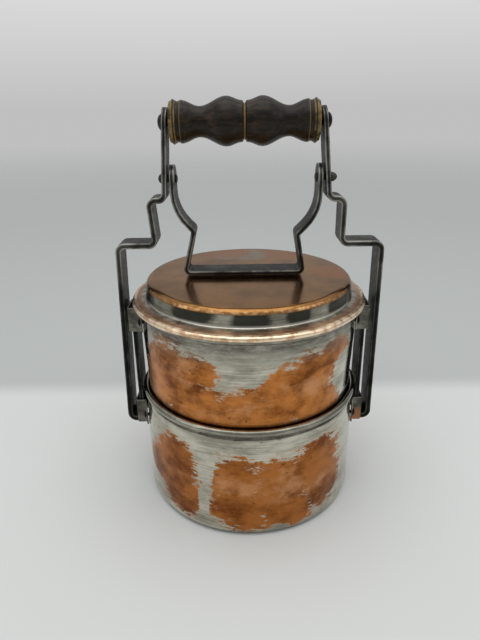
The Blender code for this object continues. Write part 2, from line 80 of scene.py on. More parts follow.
# iron strip
STRAP_W = 18.0 * MM
STRAP_T = 3.3 * MM
LEG_T = 4.0 * MM
STRAP_ROD_X = {"left": 52.7 * MM, "right": 49.3 * MM}
STRAP_NECK_X = {"left": 55.6 * MM, "right": 54.0 * MM}
STRAP_JOG_X = {"left": (66.0 * MM, 63.4 * MM), "right": (64.0 * MM, 64.0 * MM)}
STRAP_LEG_TOP_X = {"left": 89.3 * MM, "right": 91.4 * MM}
STRAP_LEG_LOW_X = 92.7 * MM
STRAP_RETURN_X = 83.1 * MM
JOG_Z = 220.3 * MM
SHOULDER_Z = 189.8 * MM
RETURN_Z = 56.7 * MM
RETURN_TOP_Z = 146.0 * MM
BEND_R = 4.5 * MM
IRON_EDGE_R = 0.7 * MM
CLAMP_W = 18.0 * MM
CLAMP_EYE_GAP = 5.1 * MM
CLAMP_BOW_R = 31.0 * MM
CLAMP_ELBOW_R = 3.2 * MM
CLAMP_ELBOW = {"left": (36.8 * MM, 199.6 * MM), "right": (33.4 * MM, 196.5 * MM)}
CLAMP_FOOT_X = {"left": 44.0 * MM, "right": 38.0 * MM}
CLAMP_FOOT_R = 3.5 * MM
CLAMP_SOLE_R = 65.4 * MM
PIVOT_Z = 233.5 * MM
PIVOT_STUB = {"left": 2.6 * MM, "right": 4.6 * MM}

# rod, grip and washers
ROD_Z = 268.6 * MM
ROD_R = 2.5 * MM
ROD_HEAD_R = 5.0 * MM
ROD_HEAD_T = 2.6 * MM
ROD_HOLE_R = 2.8 * MM
PIVOT_R = 2.2 * MM
PIVOT_HOLE_R = 2.5 * MM
PIVOT_INNER_T = 1.2 * MM
GRIP_HALF = 47.6 * MM
GRIP_X = -1.8 * MM
# distance from the grip's middle and radius, in mm
GRIP_STATIONS = ((0.0, 10.9), (1.6, 12.6), (11.5, 15.2), (28.6, 9.4), (40.6, 13.1),
                 (42.6, 12.3), (45.4, 13.7), (47.6, 12.4))
# cut lines: distance from the middle and depth, in mm
GRIP_LINES = ((38.2, 0.22), (41.4, 0.3), (44.6, 0.35), (46.6, 0.3))
GRIP_LINE_W = 0.28
GRIP_STEPS = 420
WASHER_T = 0.6 * MM
WASHER_CHAMFER = 0.2 * MM
PIVOT_WASHER_R = 5.0 * MM
HANDLE_WASHER_R = 8.0 * MM
PIVOT_HEAD_R = 3.2 * MM

# ears
EAR_T = 1.1 * MM
EAR_SLEEVE_X = 86.9 * MM
EAR_SLEEVE_Y = 9.9 * MM
EAR_BEND_R = 1.4 * MM
EAR_FOOT_ANGLE = math.radians(14.5)
EAR_RIVET_ANGLE = math.radians(10.9)
EAR_TAPER_Y = 12.2 * MM
EAR_TIP_Y = 24.0 * MM
EAR_TAPER = 0.32                    # share of the height lost at each edge by the tip
EAR_EDGE_R = 0.4 * MM
EAR_SLOT_TOP = 57.6 * MM
SLOT_REACH = 3.0 * MM
RIVET_R = 1.3 * MM
RIVET_HEAD_R = 2.9 * MM
RIVET_HEAD_T = 1.5 * MM
RIVET_TAIL_R = 2.5 * MM
RIVET_TAIL_TIP_R = 2.2 * MM
RIVET_TAIL_T = 0.7 * MM
# radius of the pan's wall, lowest and highest point of the ear
EARS = {"lower": (79.15 * MM, 49.8 * MM, 69.5 * MM),
        "upper": (77.2 * MM, 127.0 * MM, 145.2 * MM)}


# ---- lines in a plane
def fillet(corners, step=8.0):
    """Points along a line through (u, v, radius) corners, each rounded by its radius."""
    path = [Vector(corners[0][:2])]
    for before, corner, after in zip(corners, corners[1:], corners[2:]):
        point = Vector(corner[:2])
        back = (Vector(before[:2]) - point).normalized()
        ahead = (Vector(after[:2]) - point).normalized()
        turn = math.pi - back.angle(ahead)
        radius = corner[2]
        if radius == 0:
            path.append(point)
            continue
        side = math.copysign(1.0, back.y * ahead.x - back.x * ahead.y)
        centre = point + (back + ahead).normalized() * radius / math.cos(turn / 2)
        spoke = point + back * radius * math.tan(turn / 2) - centre
        count = max(2, round(math.degrees(turn) / step))
        for index in range(count + 1):
            path.append(centre + Matrix.Rotation(side * turn * index / count, 2) @ spoke)
    path.append(Vector(corners[-1][:2]))
    return path


def arc(centre, radius, start, end, count):
    """Points from the start angle to the end angle, both in radians."""
    angles = (start + (end - start) * index / count for index in range(count + 1))
    return [Vector((centre[0] + radius * math.cos(a), centre[1] + radius * math.sin(a)))
            for a in angles]


def offset(path, distance):
    """The path moved to its left by distance, with mitred corners."""
    moved = []
    for index, point in enumerate(path):
        incoming = point - path[index - 1] if index else path[1] - point
        outgoing = path[index + 1] - point if index + 1 < len(path) else incoming
        normals = [Vector((-way.y, way.x)).normalized() for way in (incoming, outgoing)]
        mitre = (normals[0] + normals[1]).normalized()
        moved.append(point + mitre * distance / mitre.dot(normals[1]))
    return moved


def divided(path, longest):
    """The path with extra points, so that no step is longer than this."""
    fine = [path[0]]
    for start, end in zip(path, path[1:]):
        count = max(1, math.ceil((end - start).length / longest))
        fine += [start.lerp(end, (index + 1) / count) for index in range(count)]
    return fine


# ---- mesh makers
def unevenness(angle, z):
    """Radial waviness of hand-beaten sheet, shared by pieces that nest together."""
    ring = Vector((math.cos(angle), math.sin(angle), 0.0))
    broad = noise.noise(ring * 1.7 + Vector((0, 0, z / (45 * MM))))
    fine = noise.noise(ring * 6.0 + Vector((5, 0, z / (13 * MM))))
    return (0.28 * broad + 0.09 * fine) * MM


def add_mesh(name, vertices, faces, marks=None):
    """A smooth-shaded object; marks is a named value on each vertex."""
    mesh = bpy.data.meshes.new(name)
    mesh.from_pydata(vertices, [], faces)
    builder = bmesh.new()
    builder.from_mesh(mesh)
    bmesh.ops.recalc_face_normals(builder, faces=builder.faces)
    builder.to_mesh(mesh)
    builder.free()
    mesh.shade_smooth()
    if marks:
        label, values = marks
        layer = mesh.attributes.new(label, "FLOAT", "POINT")
        layer.data.foreach_set("value", values)
    item = bpy.data.objects.new(name, mesh)
    bpy.context.scene.collection.objects.link(item)
    return item


def turned(name, profile, marks, steps=SEGMENTS, warp=None, place=Matrix()):
    """A closed solid of revolution about local Z from (r, z) points and their marks."""
    vertices = []
    values = []
    faces = []
    rings = []
    for (radius, z), mark in zip(profile, marks):
        start = len(vertices)
        if radius < 1e-6:
            vertices.append(place @ Vector((0, 0, z)))
            values.append(mark)
            rings.append([start] * steps)
            continue
        for index in range(steps):
            angle = 2 * math.pi * index / steps
            dr, dz = warp(angle, radius, z) if warp else (0.0, 0.0)
            spot = Vector(((radius + dr) * math.cos(angle), (radius + dr) * math.sin(angle),
                           z + dz))
            vertices.append(place @ spot)
            values.append(mark)
        rings.append(list(range(start, start + steps)))
    for low, high in zip(rings, rings[1:]):
        for index in range(steps):
            follow = (index + 1) % steps
            corners = [low[index], low[follow], high[follow], high[index]]
            unique = list(dict.fromkeys(corners))
            if len(unique) > 2:
                faces.append(unique)
    return add_mesh(name, vertices, faces, ("outside", values))


def section(half_t, half_w, radius):
    """(thickness, width, wear) points round a strip's cross-section."""
    radius = min(radius, 0.8 * half_t, 0.8 * half_w)
    support = 0.35 * (min(half_t, half_w) - radius)
    points = []
    for quarter, (sign_t, sign_w) in enumerate(((1, 1), (-1, 1), (-1, -1), (1, -1))):
        centre = Vector((sign_t * (half_t - radius), sign_w * (half_w - radius)))
        bend = arc(centre, radius, quarter * math.pi / 2, (quarter + 1) * math.pi / 2, 3)
        start = Vector((-math.sin(quarter * math.pi / 2), math.cos(quarter * math.pi / 2)))
        end = Vector((-start.y, start.x))
        points.append((*(bend[0] - start * support), 0.0))
        points += [(*point, 1.0) for point in bend]
        points.append((*(bend[-1] + end * support), 0.0))
    return points


def strip(name, stations, edge_r):
    """A strip through stations: (centre, thickness way, width way, half t, half w)."""
    vertices = []
    values = []
    faces = []
    for centre, way_t, way_w, half_t, half_w in stations:
        for t, w, wear in section(half_t, half_w, edge_r):
            vertices.append(centre + way_t * t + way_w * w)
            values.append(wear)
    size = len(vertices) // len(stations)
    for ring in range(len(stations) - 1):
        for index in range(size):
            follow = (index + 1) % size
            low = ring * size
            high = low + size
            faces.append([low + index, low + follow, high + follow, high + index])
    faces.append(list(range(size)))
    faces.append(list(range(len(vertices) - size, len(vertices))))
    return add_mesh(name, vertices, faces, ("wear", values))


def forged_stations(path, width, thickness_at, round_start=True, round_end=False):
    """Stations along an XZ path, with rounded tips and a forged strip's unevenness."""
    lengths = [0.0]
    for start, end in zip(path, path[1:]):
        lengths.append(lengths[-1] + (end - start).length)
    stations = []
    for index, point in enumerate(path):
        before = path[max(0, index - 1)]
        after = path[min(len(path) - 1, index + 1)]
        along = (after - before).normalized()
        normal = Vector((-along.y, 0, along.x))
        half_w = width / 2
        for rounded, reach in ((round_start, lengths[index]),
                               (round_end, lengths[-1] - lengths[index])):
            if rounded and reach < width / 2:
                tip = width / 2 - max(reach, 0.02 * MM)
                half_w = min(half_w, math.sqrt((width / 2) ** 2 - tip ** 2))
        spot = Vector((point.x, 0, point.y))
        swell = noise.noise(spot / (16 * MM))
        half_t = thickness_at(point) / 2 * (1 + 0.05 * noise.noise(spot / (9 * MM)))
        stations.append((spot, normal, Vector((0, 1, 0)), half_t,
                         half_w * (1 + 0.012 * swell)))
    return stations


def rounded_tip_path(path, width, at_end=False):
    """The path with close steps near its tip, where the strip's end is a half circle."""
    if at_end:
        return rounded_tip_path(path[::-1], width)[::-1]
    radius = width / 2
    along = (path[1] - path[0]).normalized()
    steps = [path[0] + along * radius * (1 - math.cos(math.pi / 2 * k / 10))
             for k in range(10)]
    rest = list(path)
    while (rest[0] - path[0]).length < radius + 0.1 * MM:
        rest.pop(0)
    return steps + divided([path[0] + along * radius] + rest, 2 * MM)


# ---- materials
class Shader:
    """A procedural material, with short calls for its nodes."""

    def __init__(self, name):
        self.material = bpy.data.materials.new(name)
        self.material.use_nodes = True
        self.tree = self.material.node_tree
        self.principled = self.tree.nodes["Principled BSDF"]
        self.coordinates = self.node("ShaderNodeTexCoord").outputs["Object"]
        split = self.node("ShaderNodeSeparateXYZ", self.coordinates)
        self.x, self.y, self.z = split.outputs

    def node(self, kind, *inputs, **settings):
        """A node with its first inputs set to sockets or values."""
        item = self.tree.nodes.new(kind)
        for key, value in settings.items():
            setattr(item, key, value)
        for socket, value in zip(item.inputs, inputs):
            self.feed(socket, value)
        return item

    def feed(self, socket, value):
        """Links a socket, or sets a value; None leaves the input as it is."""
        if isinstance(value, bpy.types.NodeSocket):
            self.tree.links.new(value, socket)
        elif value is not None:
            socket.default_value = value

    def maths(self, operation, a, b=None, clamp=False):
        item = self.node("ShaderNodeMath", a, b, operation=operation, use_clamp=clamp)
        return item.outputs[0]

    def times(self, a, b):
        return self.maths("MULTIPLY", a, b)

    def plus(self, a, b, clamp=False):
        return self.maths("ADD", a, b, clamp)

    def radial(self):
        """Distance from the vertical axis."""
        return self.maths("SQRT", self.plus(self.times(self.x, self.x),
                                            self.times(self.y, self.y)))

    def scaled(self, x, y, z, shift=0.0):
        """Object coordinates with each axis scaled, in cells per metre."""
        item = self.node("ShaderNodeMapping", self.coordinates, (shift, shift, shift),
                         (0, 0, 0), (x, y, z))
        return item.outputs[0]

    def noise(self, x, y, z, detail=4.0, rough=0.55, shift=0.0, distortion=0.0):
        """Noise from 0 to 1, about this many cells per metre along each axis."""
        item = self.node("ShaderNodeTexNoise", self.scaled(x, y, z, shift))
        item.inputs["Scale"].default_value = 1.0
        item.inputs["Detail"].default_value = detail
        item.inputs["Roughness"].default_value = rough
        item.inputs["Distortion"].default_value = distortion
        return item.outputs["Fac"]

    def step(self, value, low, high, out_low=0.0, out_high=1.0):
        """A smooth change from out_low at low to out_high at high."""
        item = self.node("ShaderNodeMapRange", value, low, high, out_low, out_high,
                         interpolation_type="SMOOTHSTEP")
        return item.outputs[0]

    def band(self, value, low, high, soft):
        """1 between low and high, 0 outside, with soft edges."""
        rise = self.step(value, low - soft, low + soft)
        fall = self.step(value, high - soft, high + soft, 1.0, 0.0)
        return self.times(rise, fall)

    def mix(self, factor, first, second):
        """Colour between first and second; each is a socket or (r, g, b)."""
        item = self.node("ShaderNodeMix", data_type="RGBA")
        self.feed(item.inputs["Factor"], factor)
        for label, value in (("A", first), ("B", second)):
            socket = next(s for s in item.inputs if s.name == label and s.type == "RGBA")
            self.feed(socket, (*value, 1.0) if isinstance(value, tuple) else value)
        return next(s for s in item.outputs if s.type == "RGBA")

    def attribute(self, label):
        item = self.node("ShaderNodeAttribute", attribute_name=label)
        return item.outputs["Fac"]

    def patches(self, blobs, radius):
        """Highest of several soft blobs: (azimuth, height, half width, half height)."""
        field = None
        for azimuth, height, half_w, half_h in blobs:
            angle = math.radians(azimuth)
            centre = (radius * math.sin(angle), -radius * math.cos(angle), height * MM)
            scale = (1 / (half_w * MM), 1 / (half_w * MM), 1 / (half_h * MM))
            place = tuple(-c * s for c, s in zip(centre, scale))
            mapped = self.node("ShaderNodeMapping", self.coordinates, place, (0, 0, 0),
                               scale)
            blob = self.node("ShaderNodeTexGradient", mapped.outputs[0],
                             gradient_type="SPHERICAL").outputs["Fac"]
            field = blob if field is None else self.maths("MAXIMUM", field, blob)
        return field

    def set(self, label, value):
        self.feed(self.principled.inputs[label], value)

    def bump(self, height, strength, distance):
        item = self.node("ShaderNodeBump")
        item.inputs["Strength"].default_value = strength
        item.inputs["Distance"].default_value = distance
        self.feed(item.inputs["Height"], height)
        self.tree.links.new(item.outputs[0], self.principled.inputs["Normal"])


TIN_LIGHT = (0.61, 0.585, 0.49)
TIN_GREY = (0.32, 0.30, 0.235)
TIN_DARK = (0.075, 0.070, 0.058)
TIN_THIN = (0.56, 0.40, 0.29)           # copper showing through
COPPER_LIGHT = (0.60, 0.225, 0.058)
COPPER_PINK = (0.64, 0.32, 0.155)
COPPER_DARK = (0.17, 0.048, 0.010)
COPPER_PIT = (0.09, 0.035, 0.014)

LID_GOLD = (0.41, 0.205, 0.070)
LID_BROWN = (0.235, 0.110, 0.036)
LID_SILVER = (0.40, 0.36, 0.29)
LID_ROSY = (0.44, 0.165, 0.045)
LID_SCRATCH = (0.20, 0.10, 0.06)
LID_INSIDE = (0.42, 0.40, 0.35)
# the lid's rim: rubbed copper lightened with a painted highlight
EDGE_RUBBED_HIGHLIGHT = (0.92, 0.56, 0.27)
EDGE_BROWN = (0.42, 0.19, 0.075)
# painted dark reflection on the lid's wall
WALL_DARK_REFLECTION = (0.036, 0.036, 0.030)
# painted highlight at the foot of the lid's wall
WALL_FOOT_HIGHLIGHT = (0.66, 0.65, 0.58)
FLANGE_LIGHT = (0.50, 0.46, 0.39)
FLANGE_DARK = (0.24, 0.20, 0.155)
FLANGE_PINK = (0.68, 0.42, 0.27)
FLANGE_BROWN = (0.36, 0.19, 0.10)
# painted highlight on the lid's bead
BEAD_HIGHLIGHT = (1.0, 0.80, 0.58)
BEAD_BROWN = (0.66, 0.42, 0.25)

IRON_DARK = (0.016, 0.0158, 0.0140)
IRON_GREY = (0.085, 0.083, 0.073)
# iron edges: rubbed bright, lightened further as painted highlights
IRON_WORN_EDGE_HIGHLIGHT = (0.42, 0.41, 0.37)
IRON_RUST = (0.085, 0.050, 0.030)
# painted shade on iron low down
IRON_PAINTED_SHADE = (0.004, 0.0038, 0.0032)
EAR_GRIME = (0.060, 0.058, 0.050)
EAR_EDGE = (0.34, 0.33, 0.30)
EAR_COPPER = (0.34, 0.155, 0.07)

WOOD_DARK = (0.006, 0.0045, 0.0028)
WOOD_BROWN = (0.024, 0.0165, 0.009)
WOOD_RUBBED = (0.075, 0.042, 0.018)
WOOD_BEAD = (0.26, 0.175, 0.06)
WOOD_GROOVE = (0.30, 0.20, 0.08)
WOOD_RING = (0.20, 0.13, 0.05)

# Zones as (start, end), in metres from the axis (R), above the ground (Z), to either
# side of the middle (X), or along the grip from its middle.
LID_EDGE_R = (71.5 * MM, 73.4 * MM)
LID_EDGE_Z = (163.0 * MM, 164.4 * MM)
# where the rim's painted highlight fades out
LID_EDGE_HIGHLIGHT_FADE_X = (48.0 * MM, 70.0 * MM)
LID_WALL_R = (70.8 * MM, 71.8 * MM)
LID_WALL_Z = (155.0 * MM, 163.6 * MM)
# painted highlight zone at the wall's foot
LID_WALL_FOOT_Z = (155.6 * MM, 157.6 * MM)
LID_DULL_R = (70.5 * MM, 73.0 * MM)
LID_DENTED_R = (69.0 * MM, 72.0 * MM)
FLANGE_R = (73.2 * MM, 73.8 * MM)
FLANGE_EDGE_R = (75.6 * MM, 77.4 * MM)
BEAD_R = (79.4 * MM, 80.2 * MM)
# painted shade on the iron below this height
LEG_SHADE_Z = (150.0 * MM, 186.0 * MM)
EAR_COPPER_Z = (60.0 * MM, 65.0 * MM)
GRIP_GROOVE = (0.25 * MM, 0.9 * MM)
GRIP_RING = (40.3 * MM, 40.9 * MM)
GRIP_BEADS = ((43.6 * MM, 44.3 * MM, 0.35 * MM), (45.2 * MM, 47.9 * MM, 0.4 * MM))

# Patches: azimuth from the front towards +X in degrees, height in mm, half width and
# half height in mm.
UPPER_BARE = ((-46, 118, 34, 30), (-27, 124, 20, 16), (-62, 100, 30, 24),
              (-30, 98, 36, 28), (-2, 95, 36, 26), (16, 108, 30, 28), (32, 118, 28, 24),
              (46, 131, 22, 12), (38, 96, 30, 22), (120, 104, 30, 26), (150, 92, 34, 18),
              (-125, 100, 34, 24), (176, 112, 26, 20), (-155, 94, 26, 16))
UPPER_KEPT = ((-2, 136, 24, 14), (1, 126, 12, 10), (54, 112, 12, 20), (62, 96, 14, 20),
              (160, 132, 40, 12), (-96, 124, 24, 20))
LOWER_BARE = ((-43, 50, 27, 28), (-38, 26, 26, 24), (-54, 40, 18, 24), (-9, 46, 28, 26),
              (-4, 24, 30, 26), (16, 42, 30, 30), (35, 54, 28, 28), (40, 32, 28, 26),
              (18, 20, 28, 20), (-62, 36, 14, 16), (118, 40, 30, 26), (150, 30, 30, 24),
              (-120, 34, 30, 24), (-160, 44, 26, 22), (84, 24, 16, 14))
LOWER_KEPT = ((-22, 52, 6, 24), (-25, 22, 5, 20), (14, 5, 9, 5), (62, 34, 11, 50),
              (0, 79, 90, 10), (180, 76, 90, 12))
LID_SILVERED = ((178, 166.6, 26, 60), (-162, 166.6, 18, 60))
LID_ROSED = ((-165, 166.6, 30, 60), (150, 166.6, 30, 60), (90, 166.6, 24, 60))
# painted dark reflections on the lid's wall
LID_DARK_REFLECTIONS = ((0, 160.5, 17, 14), (24, 161, 12, 10), (-30, 161, 22, 12),
                 (52, 160, 18, 12), (-68, 160, 16, 12), (180, 160, 60, 14))

# Painted shade on levels of a pan's wall, near the rims and at the base: low and high in mm,
# softness, colour, strength.
UPPER_PAINTED_SHADE = ((140, 150, 4.0, (0.07, 0.065, 0.055), 0.9),
               (132, 141, 5.0, (0.16, 0.155, 0.13), 0.55),
               (78, 88.5, 2.0, (0.035, 0.022, 0.014), 0.95))
LOWER_PAINTED_SHADE = ((-1, 2.2, 1.2, (0.05, 0.045, 0.04), 0.95),
               (82.0, 88.0, 1.0, (0.17, 0.175, 0.145), 0.75),
               (79.2, 82.0, 0.8, (0.08, 0.075, 0.065), 0.9))


def tin_colour(shader, clean=0.5):
    """Wiped tin: level streaks, grey clouds, fine dark scratches and small stains."""
    streak = shader.noise(22, 22, 950, 6, 0.68)
    cloud = shader.noise(30, 30, 70, 6, 0.66, shift=3.0)
    speck = shader.noise(130, 130, 460, 5, 0.72, shift=7.0)
    scratch = shader.noise(9, 9, 1500, 3, 0.6, shift=9.0)
    mixed = shader.plus(shader.times(streak, 0.4), shader.times(cloud, 0.6))
    grey = shader.step(mixed, clean - 0.08, clean + 0.10)
    colour = shader.mix(grey, TIN_LIGHT, TIN_GREY)
    stain = shader.times(shader.step(speck, 0.56, 0.70),
                         shader.step(cloud, 0.42, 0.62, 0.25, 1.0))
    colour = shader.mix(stain, colour, TIN_DARK)
    cut = shader.times(shader.step(scratch, 0.60, 0.70, 0.0, 0.75),
                       shader.step(cloud, 0.38, 0.60, 0.2, 1.0))
    return shader.mix(cut, colour, TIN_DARK), streak


def copper_colour(shader, tone):
    """Rubbed bare copper: brown clouds, pinker thin places, and a few pits."""
    cloud = shader.noise(42, 42, 55, 7, 0.66, shift=11.0)
    pale = shader.noise(28, 28, 40, 6, 0.65, shift=15.0)
    grain = shader.noise(50, 50, 600, 4, 0.6, shift=13.0)
    pitting = shader.noise(230, 230, 260, 3, 0.6, shift=17.0)
    mixed = shader.plus(shader.times(grain, 0.14), shader.times(cloud, 0.86))
    brown = shader.step(mixed, 0.40, 0.68, tone, 1.0)
    colour = shader.mix(brown, COPPER_LIGHT, COPPER_DARK)
    colour = shader.mix(shader.step(pale, 0.52, 0.68, 0.0, 0.7), colour, COPPER_PINK)
    pits = shader.step(pitting, 0.66, 0.73, 0.0, 0.85)
    return shader.mix(pits, colour, COPPER_PIT), brown


def wear_level(shader, bare, kept, radius, streak, ragged):
    """How far the tin is gone: patches less kept places, with frayed borders."""
    wavy = shader.noise(26, 26, 36, 4, 0.6, shift=29.0)
    frayed = shader.noise(170, 170, 420, 5, 0.7, shift=37.0)
    field = shader.maths("MINIMUM", shader.patches(bare, radius), 0.62)
    keep = shader.maths("MINIMUM", shader.patches(kept, radius), 0.60)
    level = shader.maths("SUBTRACT", field, shader.times(keep, 0.85))
    for term, weight in ((ragged, 1.15), (wavy, 0.60), (streak, 0.45)):
        level = shader.plus(level, shader.times(term, weight))
    return shader.plus(level, shader.step(frayed, 0.30, 0.70, -0.16, 0.16))


def pan_material(name, bare, kept, radius, shade, tone):
    """Tinned copper worn through in places; painted shade darkens chosen levels of the wall.
    """
    shader = Shader(name)
    outside = shader.attribute("outside")
    tin, streak = tin_colour(shader)
    copper, brown = copper_colour(shader, tone)
    ragged = shader.noise(75, 75, 210, 8, 0.78, shift=23.0)
    level = wear_level(shader, bare, kept, radius, streak, ragged)
    worn = shader.times(shader.step(level, 1.29, 1.42), outside)
    thin = shader.times(shader.step(level, 1.16, 1.34, 0.0, 0.5), outside)
    colour = shader.mix(thin, tin, TIN_THIN)
    colour = shader.mix(worn, colour, copper)
    patchy = shader.step(ragged, 0.30, 0.62, 0.35, 1.0)
    # painted shade: each listed level of the wall darkened, in patches
    for low, high, soft, tint, amount in shade:
        zone = shader.band(shader.z, low * MM, high * MM, soft * MM)
        strength = shader.times(shader.times(zone, patchy), amount)
        colour = shader.mix(strength, colour, tint)
    shader.set("Base Color", colour)
    shader.set("Metallic", 1.0)
    # the tin is mirror bright, the copper dull
    shader.set("Roughness", shader.times(worn, shader.step(brown, 0.0, 1.0, 0.30, 0.40)))
    dents = shader.noise(85, 85, 85, 2, 0.4, shift=31.0)
    relief = shader.plus(shader.times(streak, 0.25), shader.times(dents, 0.9))
    relief = shader.plus(relief, shader.times(worn, -0.12))
    shader.bump(relief, 0.55, 0.45 * MM)
    return shader.material


def lid_plate(shader, cloud, fine):
    """The polished top: golden and brown clouds, a silvery patch and rosy places."""
    plate = shader.mix(shader.step(cloud, 0.35, 0.70), LID_GOLD, LID_BROWN)
    silver = shader.plus(shader.patches(LID_SILVERED, 50 * MM), shader.times(cloud, 0.35))
    plate = shader.mix(shader.step(silver, 0.40, 0.80, 0.0, 0.6), plate, LID_SILVER)
    rosy = shader.plus(shader.patches(LID_ROSED, 60 * MM), shader.times(fine, 0.35))
    plate = shader.mix(shader.step(rosy, 0.40, 0.80, 0.0, 0.8), plate, LID_ROSY)
    return shader.mix(shader.step(fine, 0.66, 0.72, 0.0, 0.5), plate, LID_SCRATCH)


def lid_edge(shader, radial, cloud, speckle):
    """Colour and strength of the bright edge, rubbed copper with a painted highlight, dull at
    its left and right ends where the painted highlight fades.
    """
    # rubbed copper with a painted highlight on the rounded edge
    bright = shader.mix(shader.step(speckle, 0.40, 0.62), EDGE_RUBBED_HIGHLIGHT, EDGE_BROWN)
    amount = shader.times(shader.band(radial, *LID_EDGE_R, 0.4 * MM),
                          shader.step(shader.z, *LID_EDGE_Z))
    across = shader.maths("ABSOLUTE", shader.x)
    # the painted highlight thins in patches and fades towards the left and right ends
    for rubbed in (shader.step(cloud, 0.34, 0.60, 1.0, 0.45),
                   shader.step(speckle, 0.40, 0.60, 1.0, 0.55),
                   shader.step(across, *LID_EDGE_HIGHLIGHT_FADE_X, 1.0, 0.45)):
        amount = shader.times(amount, rubbed)
    return bright, amount


def lid_wall(shader, fine):
    """The lid's upright wall: tin with painted dark reflections, nearly black in places, and
    pale at its foot as a painted highlight.
    """
    tin, _ = tin_colour(shader, 0.46)
    # painted dark reflections: patches where the wall is darkened
    dark_reflection = shader.plus(shader.patches(LID_DARK_REFLECTIONS, 72.5 * MM),
                          shader.times(fine, 0.5))
    wall = shader.mix(shader.step(dark_reflection, 0.36, 0.70, 0.35, 0.97), tin, WALL_DARK_REFLECTION)
    # painted highlight: a pale band at the wall's foot
    return shader.mix(shader.step(shader.z, *LID_WALL_FOOT_Z, 0.85, 0.0), wall, WALL_FOOT_HIGHLIGHT)


def lid_material():
    """Polished brown copper top, a bright rim of rubbed copper with a painted highlight, a
    tinned wall with painted dark reflections, and a copper flange with painted highlights on
    its bead.
    """
    shader = Shader("lid_copper")
    cloud = shader.noise(30, 30, 30, 5, 0.6, shift=41.0)
    fine = shader.noise(110, 110, 110, 4, 0.6, shift=43.0)
    speckle = shader.noise(330, 330, 330, 3, 0.6, shift=45.0)
    spots = shader.noise(190, 190, 190, 3, 0.55, shift=49.0)
    dents = shader.noise(170, 170, 170, 1, 0.4, shift=47.0)
    radial = shader.radial()
    bright, amount = lid_edge(shader, radial, cloud, speckle)
    colour = shader.mix(amount, lid_plate(shader, cloud, fine), bright)
    on_wall = shader.times(shader.band(shader.z, *LID_WALL_Z, 0.5 * MM),
                           shader.step(radial, *LID_WALL_R))
    colour = shader.mix(on_wall, colour, lid_wall(shader, fine))
    flange = shader.mix(shader.step(fine, 0.40, 0.62), FLANGE_LIGHT, FLANGE_DARK)
    outer = shader.mix(shader.step(cloud, 0.38, 0.62), FLANGE_PINK, FLANGE_BROWN)
    flange = shader.mix(shader.step(radial, *FLANGE_EDGE_R), flange, outer)
    colour = shader.mix(shader.step(radial, *FLANGE_R), colour, flange)
    # painted highlights: bright speckles over the bead's brown copper
    bead = shader.mix(shader.step(spots, 0.44, 0.66), BEAD_HIGHLIGHT, BEAD_BROWN)
    colour = shader.mix(shader.step(radial, *BEAD_R), colour, bead)
    colour = shader.mix(shader.attribute("outside"), LID_INSIDE, colour)
    shader.set("Base Color", colour)
    shader.set("Metallic", 1.0)
    rough = shader.step(radial, *LID_DULL_R, 0.16, 0.26)
    shader.set("Roughness", shader.plus(rough, shader.times(cloud, 0.06)))
    shader.bump(shader.times(dents, shader.step(radial, *LID_DENTED_R, 0.05, 1.0)), 0.75,
                0.5 * MM)
    return shader.material


def iron_material(name):
    """Dark satin iron with edges rubbed bright and lightened as painted highlights, and
    painted shade low down on the legs.
    """
    shader = Shader(name)
    cloud = shader.noise(70, 70, 70, 5, 0.6, shift=51.0)
    fine = shader.noise(420, 420, 420, 4, 0.65, shift=53.0)
    rusty = shader.noise(120, 120, 120, 5, 0.7, shift=57.0)
    colour = shader.mix(shader.step(cloud, 0.40, 0.72), IRON_DARK, IRON_GREY)
    # edges rubbed bright and lightened as painted highlights
    wear = shader.times(shader.attribute("wear"),
                        shader.step(cloud, 0.34, 0.60, 0.12, 0.85))
    colour = shader.mix(wear, colour, IRON_WORN_EDGE_HIGHLIGHT)
    colour = shader.mix(shader.step(rusty, 0.60, 0.74, 0.0, 0.55), colour, IRON_RUST)
    # painted shade: all iron below the shoulders darker and less shiny
    black = shader.step(shader.z, *LEG_SHADE_Z, 0.75, 0.0)
    colour = shader.mix(black, colour, IRON_PAINTED_SHADE)
    shader.set("Base Color", colour)
    shader.set("Metallic", shader.step(shader.z, *LEG_SHADE_Z, 0.45, 0.85))
    shader.set("Specular IOR Level", shader.step(shader.z, *LEG_SHADE_Z, 0.08, 0.5))
    shader.set("Roughness", shader.step(fine, 0.3, 0.7, 0.34, 0.50))
    shader.bump(shader.plus(cloud, shader.times(fine, 0.25)), 0.5, 0.35 * MM)
    return shader.material


def ear_material(name, low_tint=None):
    """Tinned sheet ears, grey and grimy, with another tint low down if one is given."""
    shader = Shader(name)
    tin, _ = tin_colour(shader, 0.44)
    grime = shader.noise(90, 90, 90, 5, 0.6, shift=61.0)
    colour = shader.mix(shader.step(grime, 0.32, 0.60, 0.45, 0.95), tin, EAR_GRIME)
    wear = shader.times(shader.attribute("wear"), 0.5)
    colour = shader.mix(wear, colour, EAR_EDGE)
    if low_tint:
        height = shader.plus(shader.z, shader.times(grime, 6 * MM))
        low = shader.step(height, *EAR_COPPER_Z, 0.9, 0.0)
        colour = shader.mix(low, colour, low_tint)
    shader.set("Base Color", colour)
    shader.set("Metallic", 0.95)
    shader.set("Roughness", shader.step(grime, 0.3, 0.7, 0.32, 0.48))
    shader.bump(grime, 0.5, 0.3 * MM)
    return shader.material


